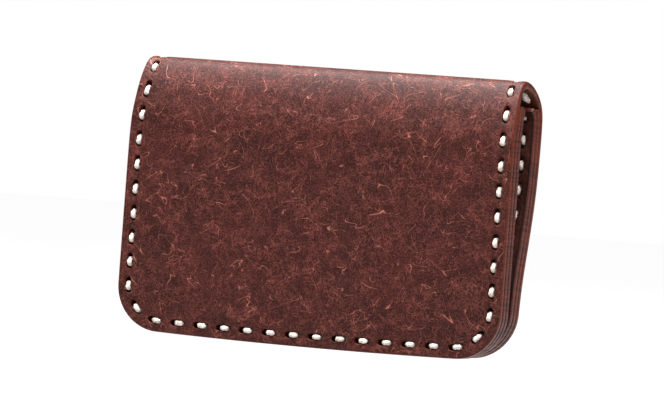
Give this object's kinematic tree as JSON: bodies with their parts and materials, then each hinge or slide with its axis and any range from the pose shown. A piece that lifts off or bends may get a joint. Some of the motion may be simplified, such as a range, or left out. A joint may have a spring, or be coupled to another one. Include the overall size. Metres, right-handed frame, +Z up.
{
  "type": "business card case",
  "caption": "Closed bifold leather card case with a rounded top fold, stitched round the edge, a pocket liner and panel inside each half, opening flat.",
  "frame": {"origin": "middle of the standing surface under the closed case, where it rests on the open edges of both halves", "axes": "+X along the fold, the widest extent; +Y through the case from front half to back half; +Z up to the fold"},
  "size_m": [0.1106, 0.0209, 0.0752],
  "materials": {
    "cover_leather": "waxed, fine scratches",
    "pocket_leather": "satin, burnished edge",
    "thread": "waxed, twisted"
  },
  "bodies": {
    "back_half": {"cover_back": "cover_leather", "back_pocket_liner": "pocket_leather", "back_pocket_panel": "pocket_leather", "seam_thread_back": "thread"},
    "fold_back": {"fold_strip_back": "cover_leather", "fold_thread_back": "thread"},
    "fold_crown": {"fold_strip_crown": "cover_leather", "fold_thread_crown": "thread"},
    "fold_front": {"fold_strip_front": "cover_leather", "fold_thread_front": "thread"},
    "front_half": {"cover_front": "cover_leather", "front_pocket_liner": "pocket_leather", "front_pocket_panel": "pocket_leather", "seam_thread_front": "thread"}
  },
  "joints": [
    {"name": "fold_bend_1", "type": "hinge", "parent": "back_half", "child": "fold_back", "pos_m": [0, 0.00901, 0.06922], "axis": [-1, 0, 0], "range_deg": [0, 46.35]},
    {"name": "fold_bend_2", "type": "hinge", "parent": "fold_back", "child": "fold_crown", "pos_m": [0, 0.00366, 0.0742], "axis": [-1, 0, 0], "range_deg": [0, 46.35]},
    {"name": "fold_bend_3", "type": "hinge", "parent": "fold_crown", "child": "fold_front", "pos_m": [0, -0.00366, 0.0742], "axis": [-1, 0, 0], "range_deg": [0, 46.35]},
    {"name": "fold_bend_4", "type": "hinge", "parent": "fold_front", "child": "front_half", "pos_m": [0, -0.00901, 0.06922], "axis": [-1, 0, 0], "range_deg": [0, 46.35]}
  ],
  "couplings": [
    {"joint": "fold_bend_2", "follows": "fold_bend_1", "ratio": 1},
    {"joint": "fold_bend_3", "follows": "fold_bend_1", "ratio": 1},
    {"joint": "fold_bend_4", "follows": "fold_bend_1", "ratio": 1}
  ]
}
